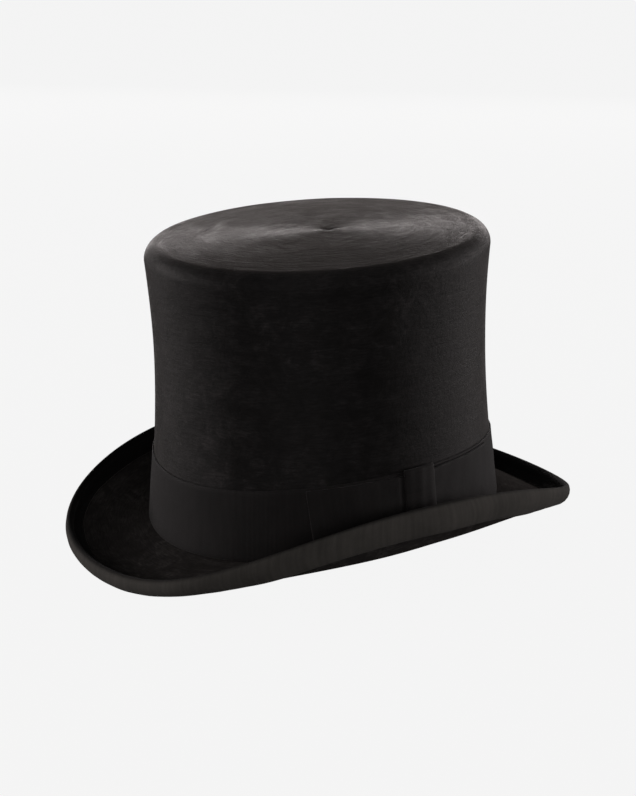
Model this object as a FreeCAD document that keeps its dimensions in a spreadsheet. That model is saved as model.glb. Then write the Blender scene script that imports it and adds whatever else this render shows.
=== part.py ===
import FreeCAD, Part
import math
import os

# A formal top hat: stiff shell, long-nap cover, curled and bound brim, ribbon band and bow,
# leather sweatband and satin lining.  Front is -Y, the wearer's left is +X (the bow side), +Z is up.
# Lengths are in millimetres, angles in degrees.  Everything is drawn from the line where the
# crown meets the brim.  standing() then tips and raises it until the brim's front and back dips
# rest on Z = 0.

sizes = [
    ("crown_half_length", 102.5),       # outside of the crown at the brim, front to back
    ("crown_half_width", 90.5),
    ("crown_height", 157.0),            # from the brim line to the flat tip
    ("shoulder_radius", 8.5),
    ("waist_narrowing", 6.6),           # how far the crown draws in at its waist
    ("top_narrowing", 4.1),             # how far it is still drawn in under the shoulder
    ("waist_height", 97.0),
    ("cover_thickness", 1.2),
    ("shell_thickness", 1.6),
    ("layer_gap", 0.15),                # glue line between two layers
    ("lining_gap", 0.3),
    ("lining_thickness", 0.5),
    ("lining_start", 26.0),             # the lining's lower edge, hidden behind the sweatband
    ("sweatband_thickness", 1.0),
    ("sweatband_height", 43.0),
    ("reed_radius", 1.0),
    ("board_thickness", 1.5),
    ("brim_cover_thickness", 0.6),
    ("brim_front", 45.0),               # plan width of the brim at the front
    ("brim_back", 45.6),
    ("brim_side", 11.8),                # plan width at the rolled sides
    ("edge_side_height", 29.3),         # height of the bound edge over the brim line
    ("edge_front_height", 1.2),
    ("edge_back_height", -11.1),
    ("edge_dip", 2.7),                  # hollows the edge between the sides and the ends
    ("edge_forward", 1.53),             # carries the rolled sides on towards the front
    ("edge_square", 0.061),             # squares the brim's outline at front and back
    ("brim_line_rise", 3.2),            # the brim line rises at the sides and dips fore and aft
    ("brim_line_height", 1.2),
    ("edge_straight", 2.0),             # flat stretch at the very edge
    ("binding_width", 12.5),
    ("binding_thickness", 0.6),
    ("band_width", 38.5),
    ("band_thickness", 0.9),
    ("bow_centre_angle", 89.0),         # around the crown from the front
    ("bow_half_span", 63.5),            # from the middle of the knot to a wing's end
    ("wing_thickness", 2.0),
    ("wing_trim", 0.8),                 # a wing is this much narrower than the band, top and bottom
    ("knot_width", 20.5),
    ("knot_thickness", 3.8),
    ("knot_overhang", 1.4),             # how far the knot stands over the band's upper edge
    ("knot_standoff", 0.75),            # from the band to the knot, room for the ribbon behind it
    ("knot_rounding", 1.6),
    ("sweatband_bow_width", 30.0),      # the small bow at the back of the sweatband
    ("sweatband_bow_height", 11.0),
    ("sweatband_bow_thickness", 2.4),
    ("sweatband_bow_neck", 5.5),        # height of its loops where they meet its knot
    ("sweatband_knot_width", 5.5),
    ("sweatband_knot_height", 7.7),
    ("sweatband_knot_thickness", 3.4),
]

# The slope of the brim section at the front, the sides and the back: where it leaves the
# crown, where the flat run turns into the curl, and at the bound edge.
slopes = [
    ("leave", -8.5, 6.5, -16.5),
    ("turn", -6.0, 11.5, -40.5),
    ("edge", 113.0, 120.0, 112.0),
]

# How finely the curved pieces are drawn: points round the hat, then rings along each piece
ringPoints = 64
wallRingCount = 12
shoulderRingCount = 6
brimRingCount = 22
bindingRingCount = 12
noseRingCount = 9
bandRingCount = 6
wingSectionCount = 9
wingPointCount = 5
reedSideCount = 8
standSearchCount = 200

os.makedirs("parts", exist_ok=True)

doc = FreeCAD.newDocument("TopHat")
sheet = doc.addObject("Spreadsheet::Sheet", "size")


def setCell(row, alias, value):
    cell = "B%d" % row
    sheet.set("A%d" % row, alias)
    sheet.set(cell, "%.6g" % value)
    sheet.setAlias(cell, alias)


row = 1
for alias, value in sizes:
    setCell(row, alias, value)
    row += 1
for name, front, side, back in slopes:
    for place, value in (("front", front), ("side", side), ("back", back)):
        setCell(row, "slope_%s_%s" % (name, place), value)
        row += 1
doc.recompute()


def size(alias):
    return float(sheet.get(alias))


def around(angle, front, side, back):
    """Blend three values round the hat: at the front, at both sides and at the back."""
    level = (front + back) / 4 + side / 2
    return level + ((front + back) / 4 - side / 2) * math.cos(2 * angle) + (front - back) / 2 * math.cos(angle)


# Crown surface

def crownDraw(height):
    """How far the crown's wall is drawn in at a height: a smooth waist, easing out to the tip."""
    waist = size("waist_height")
    low = size("waist_narrowing")
    top = size("top_narrowing")
    if height <= waist:
        return low * math.sin(math.pi / 2 * height / waist)
    above = (height - waist) / (size("crown_height") - size("shoulder_radius") - waist)
    return low - (low - top) * above ** 2


def crownPoint(angle, height, inset):
    """A point on the crown, a distance inside its outer face."""
    inward = crownDraw(height) + inset
    x = (size("crown_half_width") - inward) * math.sin(angle)
    y = -(size("crown_half_length") - inward) * math.cos(angle)
    return FreeCAD.Vector(x, y, height)


def shoulderPoint(angle, turn, inset):
    """A point on the rounded shoulder: turn goes from the wall (0) to the flat tip (90 degrees)."""
    radius = size("shoulder_radius") - inset
    base = size("crown_height") - size("shoulder_radius")
    inward = crownDraw(base) + inset + radius * (1 - math.cos(turn))
    x = (size("crown_half_width") - inward) * math.sin(angle)
    y = -(size("crown_half_length") - inward) * math.cos(angle)
    return FreeCAD.Vector(x, y, base + radius * math.sin(turn))


# Brim surface

def brimLine(angle):
    return size("brim_line_height") - size("brim_line_rise") * math.cos(2 * angle)


def edgePoint(angle):
    """The bound edge of the brim."""
    front = size("crown_half_length") + size("brim_front")
    back = size("crown_half_length") + size("brim_back")
    reach = front if math.cos(angle) > 0 else back
    square = size("edge_square")
    x = (size("crown_half_width") + size("brim_side")) * math.sin(angle)
    y = -reach * (math.cos(angle) - square * math.cos(3 * angle)) / (1 - square)
    z = around(angle, size("edge_front_height"), size("edge_side_height"), size("edge_back_height"))
    z += size("edge_dip") * (math.cos(4 * angle) - 1)
    z += size("edge_forward") * (math.cos(angle) - math.cos(3 * angle))
    return FreeCAD.Vector(x, y, z)


class BrimSection:
    """The brim's middle line at one angle: a run that bends slightly, a round curl, a flat edge."""

    def __init__(self, angle):
        slope = {}
        for name, front, side, back in slopes:
            values = [size("slope_%s_%s" % (name, place)) for place in ("front", "side", "back")]
            slope[name] = math.radians(around(angle, *values))
        self.leave, self.turn, self.end = slope["leave"], slope["turn"], slope["edge"]
        self.base = crownPoint(angle, 0, 0)
        self.base.z = brimLine(angle)
        edge = edgePoint(angle)
        reach = math.hypot(edge.x - self.base.x, edge.y - self.base.y)
        self.out = FreeCAD.Vector((edge.x - self.base.x) / reach, (edge.y - self.base.y) / reach, 0)
        self.flat = size("edge_straight")
        across = reach - self.flat * math.cos(self.end)
        up = edge.z - self.base.z - self.flat * math.sin(self.end)
        bend = self.turn - self.leave
        runAcross = (math.sin(self.turn) - math.sin(self.leave)) / bend
        runUp = (math.cos(self.leave) - math.cos(self.turn)) / bend
        curlAcross = math.sin(self.end) - math.sin(self.turn)
        curlUp = math.cos(self.turn) - math.cos(self.end)
        scale = runAcross * curlUp - runUp * curlAcross
        self.run = (across * curlUp - up * curlAcross) / scale
        self.radius = (runAcross * up - runUp * across) / scale
        self.curl = self.radius * (self.end - self.turn)
        self.length = self.run + self.curl + self.flat

    def at(self, distance, offset):
        """The point a distance along the middle line; a positive offset is below and outside it."""
        bend = self.turn - self.leave
        if distance < 0:
            slope = self.leave
            across = distance * math.cos(slope)
            up = distance * math.sin(slope)
        elif distance < self.run:
            slope = self.leave + bend * distance / self.run
            across = self.run / bend * (math.sin(slope) - math.sin(self.leave))
            up = self.run / bend * (math.cos(self.leave) - math.cos(slope))
        else:
            past = min(distance - self.run, self.curl)
            slope = self.turn + past / self.radius
            across = self.run / bend * (math.sin(self.turn) - math.sin(self.leave))
            up = self.run / bend * (math.cos(self.leave) - math.cos(self.turn))
            across += self.radius * (math.sin(slope) - math.sin(self.turn))
            up += self.radius * (math.cos(self.turn) - math.cos(slope))
            flat = distance - self.run - past
            across += flat * math.cos(slope)
            up += flat * math.sin(slope)
        across += offset * math.sin(slope)
        up -= offset * math.cos(slope)
        return self.base + self.out * across + FreeCAD.Vector(0, 0, up)


angles = [2 * math.pi * i / ringPoints for i in range(ringPoints)]
sections = [BrimSection(angle) for angle in angles]


# Solids from rings

def ringWire(place):
    """A closed spline with one point for each section round the hat."""
    curve = Part.BSplineCurve()
    points = [place(i) for i in range(ringPoints)]
    knots = [i / ringPoints for i in range(ringPoints + 1)]
    curve.interpolate(Points=points, PeriodicFlag=True, Parameters=knots)
    return Part.Wire([curve.toShape()])


def sewn(faces):
    shell = Part.makeCompound(faces)
    shell.sewShape()
    solid = Part.makeSolid(Part.makeShell(shell.Faces))
    if solid.Volume < 0:
        solid.reverse()
    return solid


def ringSolid(skins, closed=True):
    """Sew a solid from skins, each a list of rings; neighbouring skins share a ring."""
    faces = []
    for rings in skins:
        faces += Part.makeLoft(rings, False, len(rings) == 2).Faces
    if not closed:
        faces.append(Part.Face(skins[0][0]))
        faces.append(Part.Face(skins[-1][-1]))
    return sewn(faces)


def steps(first, last, count):
    return [first + (last - first) * i / (count - 1) for i in range(count)]


def crownRing(bottom, share, top, inset):
    """A ring on the crown's wall, a share of the way up from a wavy lower edge to a level top."""
    def place(i):
        low = bottom(angles[i])
        return crownPoint(angles[i], low + (top - low) * share, inset)
    return ringWire(place)


def shoulderRing(turn, inset):
    return ringWire(lambda i: shoulderPoint(angles[i], turn, inset))


def wallRings(bottom, inset, withShoulder):
    """Rings up one face of the crown, on over the shoulder if asked."""
    top = size("crown_height") - size("shoulder_radius")
    shares = [math.sin(turn) for turn in steps(0, math.pi / 2, wallRingCount)]
    rings = [crownRing(bottom, share, top, inset) for share in shares]
    if withShoulder:
        turns = steps(0, math.pi / 2, shoulderRingCount)[1:]
        rings += [shoulderRing(turn, inset) for turn in turns]
    return rings


def addFeature(name, shape):
    feature = doc.addObject("Part::Feature", name)
    feature.Label = name
    feature.Shape = shape
    feature.Placement = stand
    return feature


# Layer positions: an inset is how far inside the crown's outer face a layer starts

gap = size("layer_gap")
halfBoard = size("board_thickness") / 2
coverStart = halfBoard + gap
coverEnd = coverStart + size("brim_cover_thickness")
bindingStart = coverEnd + gap
bindingEnd = bindingStart + size("binding_thickness")
shellInset = size("cover_thickness") + gap
liningInset = shellInset + size("shell_thickness") + size("lining_gap")
sweatInset = liningInset + size("lining_thickness") + size("lining_gap")
bandInset = -gap - size("band_thickness")


def standing():
    """The placement that stands the brim on Z = 0 at front and back, centred fore and aft."""
    def underside(section):
        distances = steps(section.run / 2, section.length, standSearchCount)
        return min((section.at(d, bindingEnd) for d in distances), key=lambda point: point.z)
    front = underside(BrimSection(0))
    back = underside(BrimSection(math.pi))
    pitch = math.atan2(front.z - back.z, back.y - front.y)
    turned = FreeCAD.Rotation(FreeCAD.Vector(1, 0, 0), math.degrees(pitch))
    outline = []
    for section in sections:
        distances = steps(section.run, section.length, ringPoints)
        outline += [turned.multVec(section.at(d, bindingEnd)) for d in distances]
    middle = (max(point.y for point in outline) + min(point.y for point in outline)) / 2
    lowest = min(point.z for point in outline)
    return FreeCAD.Placement(FreeCAD.Vector(0, -middle, -lowest), turned)


stand = standing()


# Brim

def brimRing(distance, offset):
    """A ring at a distance from the crown; distance is a function of the section."""
    return ringWire(lambda i: sections[i].at(distance(sections[i]), offset))


def brimSheet(name, inner, outer, low, high):
    """A layer of the brim between two offsets, from a distance past the crown to the bound edge."""
    end = bindingEnd + outer

    def rings(offset, backwards):
        shares = steps(0, 1, brimRingCount)
        if backwards:
            shares = shares[::-1]
        result = []
        for share in shares:
            result.append(brimRing(lambda section: inner + (section.length - end - inner) * share, offset))
        return result
    top = rings(low, False)
    under = rings(high, True)
    return addFeature(name, ringSolid([top, [top[-1], under[0]], under, [under[-1], top[0]]]))


def brimBinding():
    """Ribbon folded round the edge: a C-shaped section that wraps a rounded nose."""
    width = size("binding_width")

    def face(offset, backwards):
        shares = steps(0, 1, bindingRingCount)
        if backwards:
            shares = shares[::-1]
        result = []
        for share in shares:
            result.append(brimRing(lambda section: section.length - bindingEnd - width * (1 - share), offset))
        return result

    def nose(radius, turns):
        result = []
        for turn in turns:
            reach = radius * math.cos(turn)
            offset = radius * math.sin(turn)
            result.append(brimRing(lambda section: section.length - bindingEnd + reach, offset))
        return result
    turns = steps(-math.pi / 2, math.pi / 2, noseRingCount)
    outer = face(-bindingEnd, False) + nose(bindingEnd, turns)[1:-1] + face(bindingEnd, True)
    inner = face(bindingStart, False) + nose(bindingStart, turns[::-1])[1:-1] + face(-bindingStart, True)
    skins = [outer, [outer[-1], inner[0]], inner, [inner[-1], outer[0]]]
    return addFeature("brim_binding", ringSolid(skins))


innerEdge = gap - shellInset - size("shell_thickness")
brimSheet("brim_board", innerEdge, gap, -halfBoard, halfBoard)
brimSheet("brim_upper_cover", gap, gap, -coverEnd, -coverStart)
brimSheet("brim_under_cover", innerEdge, gap, coverStart, coverEnd)
brimBinding()


# Crown

def above(offset):
    """The height of a wavy line a distance over the brim's middle line, at the crown's wall."""
    return lambda angle: brimLine(angle) + offset


def crownTube(name, bottom, inset, thickness, turnIn):
    """A wall of the crown, open at the bottom; turnIn carries it over the shoulder as a flange."""
    outer = wallRings(bottom, inset, turnIn)
    inner = wallRings(bottom, inset + thickness, turnIn)[::-1]
    skins = [outer, [outer[-1], inner[0]], inner, [inner[-1], outer[0]]]
    return addFeature(name, ringSolid(skins))


def crownCover():
    """The outer cover: wall, shoulder and tip in one, closed over the top."""
    bottom = above(coverEnd + gap)
    outer = wallRings(bottom, 0, True)
    inner = wallRings(bottom, size("cover_thickness"), True)
    faces = Part.makeLoft(outer, False).Faces + Part.makeLoft(inner, False).Faces
    faces += Part.makeLoft([outer[0], inner[0]], False, True).Faces
    faces += [Part.Face(outer[-1]), Part.Face(inner[-1])]
    return addFeature("crown_cover", sewn(faces))


def tipPlate(name, depth, thickness):
    """A flat oval plate in the tip; depth is how far its upper face lies under the crown's top."""
    oval = doc.addObject("Part::Ellipse", name + "_outline")
    shrink = " - size.top_narrowing - size.shoulder_radius - size.layer_gap"
    oval.setExpression("MajorRadius", "size.crown_half_length" + shrink)
    oval.setExpression("MinorRadius", "size.crown_half_width" + shrink)
    plate = doc.addObject("Part::Extrusion", name)
    plate.Label = name
    plate.Base = oval
    plate.DirMode = "Custom"
    plate.Dir = FreeCAD.Vector(0, 0, -1)
    plate.Solid = True
    plate.setExpression("LengthFwd", thickness)
    turned = FreeCAD.Rotation(FreeCAD.Vector(0, 0, 1), 90)
    height = size("crown_height") - depth
    plate.Placement = stand.multiply(FreeCAD.Placement(FreeCAD.Vector(0, 0, height), turned))
    return plate


crownCover()
crownTube("crown_side_shell", above(coverEnd + gap), shellInset, size("shell_thickness"), True)
tipPlate("crown_tip_shell", shellInset, "size.shell_thickness")
crownTube("lining_side", above(size("lining_start")), liningInset, size("lining_thickness"), True)
tipPlate("lining_tip", liningInset, "size.lining_thickness")


# Sweatband

def sweatband():
    """The leather band inside the opening, level with the underside of the brim."""
    thickness = size("sweatband_thickness")

    def rings(inset):
        heights = steps(0, size("sweatband_height"), bandRingCount)
        result = []
        for height in heights:
            lift = height - halfBoard
            result.append(ringWire(lambda i: crownPoint(angles[i], brimLine(angles[i]) + lift, inset)))
        return result
    outer = rings(sweatInset)
    inner = rings(sweatInset + thickness)[::-1]
    return addFeature("sweatband", ringSolid([outer, [outer[-1], inner[0]], inner, [inner[-1], outer[0]]]))


def sweatbandReed():
    """A round cord in the sweatband's lower edge."""
    radius = size("reed_radius")
    middle = sweatInset + size("sweatband_thickness") / 2
    drop = halfBoard + gap + radius

    def ring(turn):
        def place(i):
            level = brimLine(angles[i]) - drop
            centre = crownPoint(angles[i], level, middle + radius * math.cos(turn))
            return centre + FreeCAD.Vector(0, 0, radius * math.sin(turn))
        return ringWire(place)
    rings = [ring(2 * math.pi * i / reedSideCount) for i in range(reedSideCount)]
    half = reedSideCount // 2
    return addFeature("sweatband_reed", ringSolid([rings[:half + 1], rings[half:] + rings[:1]]))


def placed(local):
    return stand.multiply(local)


def wallLean(level):
    """How far the crown's wall leans inwards at a height."""
    step = 1.0
    return math.atan2(crownDraw(level + step) - crownDraw(level - step), 2 * step)


def block(name, length, width, height):
    """A box with its sizes bound to the sheet: each is a formula of its cells."""
    item = doc.addObject("Part::Box", name)
    item.setExpression("Length", length)
    item.setExpression("Width", width)
    item.setExpression("Height", height)
    return item


def bowLoop(name, side):
    """One flared loop of the small bow, lying along X from the knot to its wide end."""
    loop = doc.addObject("Part::Wedge", name)
    loop.setExpression("Ymax", "size.sweatband_bow_width / 2")
    loop.Ymin = 0
    loop.Xmin = loop.X2min = 0
    for end in ("Xmax", "X2max"):
        loop.setExpression(end, "size.sweatband_bow_thickness")
    loop.setExpression("Zmin", "-size.sweatband_bow_neck / 2")
    loop.setExpression("Zmax", "size.sweatband_bow_neck / 2")
    loop.setExpression("Z2min", "-size.sweatband_bow_height / 2")
    loop.setExpression("Z2max", "size.sweatband_bow_height / 2")
    turn = FreeCAD.Rotation(FreeCAD.Vector(0, 0, 1), -90 * side)
    shift = size("sweatband_bow_thickness") / 2
    loop.Placement = FreeCAD.Placement(turn.multVec(FreeCAD.Vector(-shift, 0, 0)), turn)
    return loop


def sweatbandBow():
    """The small bow at the back of the sweatband."""
    knot = block("sweatband_bow_knot", "size.sweatband_knot_width",
                 "size.sweatband_knot_thickness", "size.sweatband_knot_height")
    doc.recompute()
    half = FreeCAD.Vector(knot.Length.Value, knot.Width.Value, knot.Height.Value) / 2
    knot.Placement.Base = -half
    bow = doc.addObject("Part::MultiFuse", "sweatband_bow")
    bow.Label = "sweatband_bow"
    bow.Shapes = [bowLoop("bow_loop_left", 1), bowLoop("bow_loop_right", -1), knot]
    level = brimLine(math.pi) + size("sweatband_height") / 2
    inset = sweatInset + size("sweatband_thickness")
    wall = crownPoint(math.pi, level, inset)
    side = crownPoint(math.pi / 2, level, inset)
    hollow = wall.y * (1 - math.sqrt(1 - (size("sweatband_bow_width") / 2 / side.x) ** 2))
    clear = hollow + 2 * gap + half.y
    lean = FreeCAD.Rotation(FreeCAD.Vector(1, 0, 0), math.degrees(wallLean(level)))
    bow.Placement = placed(FreeCAD.Placement(wall - FreeCAD.Vector(0, clear, 0), lean))
    return bow


sweatband()
sweatbandReed()
sweatbandBow()


# Ribbon band and bow

bandFoot = coverEnd + gap


def bandLow(angle):
    return brimLine(angle) + bandFoot + size("wing_trim") / 2


def hatBand():
    thickness = size("band_thickness")

    def rings(inset):
        result = []
        for height in steps(0, size("band_width"), bandRingCount):
            result.append(ringWire(lambda i: crownPoint(angles[i], bandLow(angles[i]) + height, inset)))
        return result
    outer = rings(bandInset)
    inner = rings(bandInset + thickness)[::-1]
    return addFeature("hat_band", ringSolid([outer, [outer[-1], inner[0]], inner, [inner[-1], outer[0]]]))


def bowWing(name, first, last):
    """A flat loop of ribbon lying on the band between two distances from the bow's middle."""
    centre = math.radians(size("bow_centre_angle"))
    trim = size("wing_trim")
    near = bandInset - gap
    far = near - size("wing_thickness")

    def section(distance):
        angle = centre + distance / size("crown_half_length")
        low = bandLow(angle) + trim
        heights = steps(low, bandLow(angle) + size("band_width") - trim, wingPointCount)
        outer = [crownPoint(angle, height, far) for height in heights]
        inner = [crownPoint(angle, height, near) for height in heights[::-1]]
        edges = []
        for points in (outer, [outer[-1], inner[0]], inner, [inner[-1], outer[0]]):
            curve = Part.BSplineCurve()
            curve.interpolate(points)
            edges.append(curve.toShape())
        return Part.Wire(edges)
    return addFeature(name, Part.makeLoft([section(d) for d in steps(first, last, wingSectionCount)], True))


def bowKnot():
    """The ribbon wrapped round the middle of the bow."""
    core = block("bow_knot_block", "size.knot_thickness", "size.knot_width",
                 "size.band_width + size.knot_overhang - size.wing_trim")
    knot = doc.addObject("Part::Fillet", "bow_knot")
    knot.Label = "bow_knot"
    knot.Base = core
    doc.recompute()
    rounding = size("knot_rounding")
    knot.Edges = [(i + 1, rounding, rounding) for i in range(len(core.Shape.Edges))]
    angle = math.radians(size("bow_centre_angle"))
    tall = core.Height.Value
    level = bandLow(angle) + size("wing_trim") + tall / 2
    wall = crownPoint(angle, level, bandInset)
    halfLength, halfWidth = size("crown_half_length"), size("crown_half_width")
    normal = math.degrees(math.atan2(-math.cos(angle) / halfLength, math.sin(angle) / halfWidth))
    facing = FreeCAD.Rotation(FreeCAD.Vector(0, 0, 1), normal)
    lean = FreeCAD.Rotation(FreeCAD.Vector(0, 1, 0), -math.degrees(wallLean(level)))
    turned = facing.multiply(lean)
    corner = FreeCAD.Vector(size("knot_standoff"), -size("knot_width") / 2, -tall / 2)
    core.Placement = placed(FreeCAD.Placement(wall + turned.multVec(corner), turned))
    return knot


hatBand()
halfKnot = size("knot_width") / 2 + 2 * gap
bowWing("bow_front_wing", -size("bow_half_span"), -halfKnot)
bowWing("bow_back_wing", halfKnot, size("bow_half_span"))
bowKnot()


# Check and write

nodes = ["crown_cover", "crown_side_shell", "crown_tip_shell", "brim_board", "brim_upper_cover",
         "brim_under_cover", "brim_binding", "hat_band", "bow_front_wing", "bow_back_wing", "bow_knot",
         "lining_side", "lining_tip", "sweatband", "sweatband_reed", "sweatband_bow"]
doc.recompute()
for item in doc.Objects:
    if "Invalid" in item.State or "Error" in item.State:
        raise RuntimeError("object %s did not build" % item.Label)
for name in nodes:
    shape = doc.getObjectsByLabel(name)[0].Shape
    if shape.isNull() or not shape.isValid() or shape.Volume <= 0:
        raise RuntimeError("sub-part %s has no valid solid" % name)
for name in nodes:
    doc.getObjectsByLabel(name)[0].Shape.exportStep("parts/%s.step" % name)
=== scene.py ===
import math
import random
import bpy
import numpy as np
from mathutils import Vector, Matrix


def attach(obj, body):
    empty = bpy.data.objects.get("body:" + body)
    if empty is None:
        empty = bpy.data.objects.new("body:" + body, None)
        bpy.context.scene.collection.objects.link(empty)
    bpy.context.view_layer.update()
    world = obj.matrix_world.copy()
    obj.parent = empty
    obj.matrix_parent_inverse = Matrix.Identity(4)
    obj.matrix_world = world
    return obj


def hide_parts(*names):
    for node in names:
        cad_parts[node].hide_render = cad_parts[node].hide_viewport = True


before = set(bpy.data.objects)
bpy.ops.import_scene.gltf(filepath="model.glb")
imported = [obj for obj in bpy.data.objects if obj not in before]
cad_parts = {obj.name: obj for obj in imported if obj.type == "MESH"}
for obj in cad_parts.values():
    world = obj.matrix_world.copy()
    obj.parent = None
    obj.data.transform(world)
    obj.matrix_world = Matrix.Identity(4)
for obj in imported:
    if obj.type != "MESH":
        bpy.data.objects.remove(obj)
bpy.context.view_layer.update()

mm = 0.001                           # sizes below are in millimetres, the scene is in metres
scene = bpy.context.scene
napRadius = 90.0                     # the nap's pattern is laid out on a ring this large
print("frame loaded:", len(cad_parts), "CAD nodes")

# Shape of the hat: front is -Y, the wearer's left is +X, heights are from the brim line
hat = dict(
    halfLength=102.5, halfWidth=90.5, height=157.0, shoulder=8.5,      # crown, outside
    waistIn=6.6, topIn=4.1, waistHeight=97.0,                           # how the wall draws in
    lineHeight=1.2, lineRise=3.2,                                       # the wavy foot of the crown
    brimFront=45.0, brimBack=45.6, brimSide=11.8,                       # plan widths of the brim
    edgeFront=1.2, edgeSide=29.3, edgeBack=-11.1,                      # heights of the bound edge
    edgeDip=2.7, edgeForward=1.53, edgeSquare=0.061, edgeStraight=2.0,
    # slopes of the brim at the front, the sides and the back: off the crown, before the curl, at the edge
    slopeLeave=(-8.5, 6.5, -16.5), slopeTurn=(-6.0, 11.5, -40.5), slopeEdge=(113.0, 120.0, 112.0),
)
layer = dict(
    cover=1.2, shell=1.6, gap=0.15, liningGap=0.3, lining=0.5, sweatband=1.0,
    board=1.5, brimCover=0.6, binding=0.6, band=0.9,
)
coverEnd = layer["board"] / 2 + layer["gap"] + layer["brimCover"]
bindingEnd = coverEnd + layer["gap"] + layer["binding"]
liningInset = layer["cover"] + layer["gap"] + layer["shell"] + layer["liningGap"]
sweatInset = liningInset + layer["lining"] + layer["liningGap"]
bandInset = -layer["gap"] - layer["band"]


def around(angle, front, side, back):        # a value that swings smoothly from front to side to back
    level = (front + back) / 4 + side / 2
    swing = (front + back) / 4 - side / 2
    return level + swing * np.cos(2 * angle) + (front - back) / 2 * np.cos(angle)


def crownDraw(height):
    waist, low, top = hat["waistHeight"], hat["waistIn"], hat["topIn"]
    above = (height - waist) / (hat["height"] - hat["shoulder"] - waist)
    lower = low * np.sin(math.pi / 2 * height / waist)
    return np.where(height <= waist, lower, low - (low - top) * above ** 2)


def oval(angle, inward, height):        # a point on the crown's oval, drawn in from its outside
    x = (hat["halfWidth"] - inward) * np.sin(angle)
    y = -(hat["halfLength"] - inward) * np.cos(angle)
    return np.stack(np.broadcast_arrays(x, y, height), axis=-1)


def crownPoint(angle, height, inset):
    return oval(angle, crownDraw(np.asarray(height, float)) + inset, height)


def brimLine(angle):
    return hat["lineHeight"] - hat["lineRise"] * np.cos(2 * angle)


def edgePoint(angle):
    square = hat["edgeSquare"]
    reach = hat["halfLength"] + np.where(np.cos(angle) > 0, hat["brimFront"], hat["brimBack"])
    x = (hat["halfWidth"] + hat["brimSide"]) * np.sin(angle)
    y = -reach * (np.cos(angle) - square * np.cos(3 * angle)) / (1 - square)
    z = around(angle, hat["edgeFront"], hat["edgeSide"], hat["edgeBack"])
    z = z + hat["edgeDip"] * (np.cos(4 * angle) - 1)
    z = z + hat["edgeForward"] * (np.cos(angle) - np.cos(3 * angle))
    return np.stack([x, y, z], axis=-1)


class BrimShape:        # the brim's middle line at each angle: a run, a round curl and a flat edge
    def __init__(self, angle):
        self.leave = np.radians(around(angle, *hat["slopeLeave"]))
        self.turn = np.radians(around(angle, *hat["slopeTurn"]))
        self.end = np.radians(around(angle, *hat["slopeEdge"]))
        self.base = crownPoint(angle, 0.0 * angle, 0)
        self.base[:, 2] = brimLine(angle)
        step = edgePoint(angle) - self.base
        reach = np.hypot(step[:, 0], step[:, 1])
        self.outX, self.outY = step[:, 0] / reach, step[:, 1] / reach
        flat = hat["edgeStraight"]
        across = reach - flat * np.cos(self.end)
        up = step[:, 2] - flat * np.sin(self.end)
        self.bend = self.turn - self.leave
        runAcross = (np.sin(self.turn) - np.sin(self.leave)) / self.bend
        runUp = (np.cos(self.leave) - np.cos(self.turn)) / self.bend
        curlAcross = np.sin(self.end) - np.sin(self.turn)
        curlUp = np.cos(self.turn) - np.cos(self.end)
        scale = runAcross * curlUp - runUp * curlAcross
        self.run = (across * curlUp - up * curlAcross) / scale
        self.radius = (runAcross * up - runUp * across) / scale
        self.curl = self.radius * (self.end - self.turn)
        self.length = self.run + self.curl + flat

    def at(self, distance, offset):        # a positive offset is below and outside the middle line
        run = np.clip(distance, 0, self.run)
        curl = np.clip(distance - self.run, 0, self.curl)
        slope = self.leave + self.bend * run / self.run + curl / self.radius
        turned = self.leave + self.bend * run / self.run
        straight = distance - run - curl        # before the run it is negative, past the curl positive
        across = self.run / self.bend * (np.sin(turned) - np.sin(self.leave))
        up = self.run / self.bend * (np.cos(self.leave) - np.cos(turned))
        across = across + self.radius * (np.sin(slope) - np.sin(turned)) + straight * np.cos(slope)
        up = up + self.radius * (np.cos(turned) - np.cos(slope)) + straight * np.sin(slope)
        across = across + offset * np.sin(slope)
        up = up - offset * np.cos(slope)
        x = self.base[:, 0] + self.outX * across
        y = self.base[:, 1] + self.outY * across
        return np.stack([x, y, self.base[:, 2] + up], axis=-1)


stand = dict(dipSteps=200, around=64, curlSteps=40)        # how finely the resting points are looked for


def turnForward(points, pitch):        # tips the hat forward about X
    cosine, sine = math.cos(pitch), math.sin(pitch)
    x, y, z = points[..., 0], points[..., 1], points[..., 2]
    return np.stack([x, y * cosine - z * sine, y * sine + z * cosine], axis=-1)


def findStand():        # stands the brim on its front and back dips, centred fore and aft
    ends = BrimShape(np.array([0.0, math.pi]))
    start = ends.run / 2
    low = np.array([ends.at(start + (ends.length - start) * share, bindingEnd)
                    for share in np.linspace(0, 1, stand["dipSteps"])])
    front = low[np.argmin(low[:, 0, 2]), 0]
    back = low[np.argmin(low[:, 1, 2]), 1]
    pitch = math.atan2(front[2] - back[2], back[1] - front[1])
    shape = BrimShape(np.linspace(0, 2 * math.pi, stand["around"] + 1)[:-1])
    outline = [shape.at(shape.run + (shape.length - shape.run) * share, bindingEnd)
               for share in np.linspace(0, 1, stand["curlSteps"])]
    outline = turnForward(np.array(outline), pitch)
    middle = (outline[..., 1].max() + outline[..., 1].min()) / 2
    return pitch, middle, outline[..., 2].min()


pitch, standMiddle, standLowest = findStand()


def toScene(points):        # hat millimetres to scene metres
    turned = turnForward(np.asarray(points, float), pitch)
    return (turned - np.array([0, standMiddle, standLowest])) * mm


print("stand: pitch %.3f degrees, raised %.2f mm" % (math.degrees(pitch), -standLowest))


def linked(name, data):
    thing = bpy.data.objects.new(name, data)
    scene.collection.objects.link(thing)
    return thing


def meshObject(name, points, faces):
    mesh = bpy.data.meshes.new(name)
    mesh.from_pydata(points, [], faces)
    mesh.polygons.foreach_set("use_smooth", [True] * len(mesh.polygons))
    mesh.update()
    return linked(name, mesh)


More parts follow.
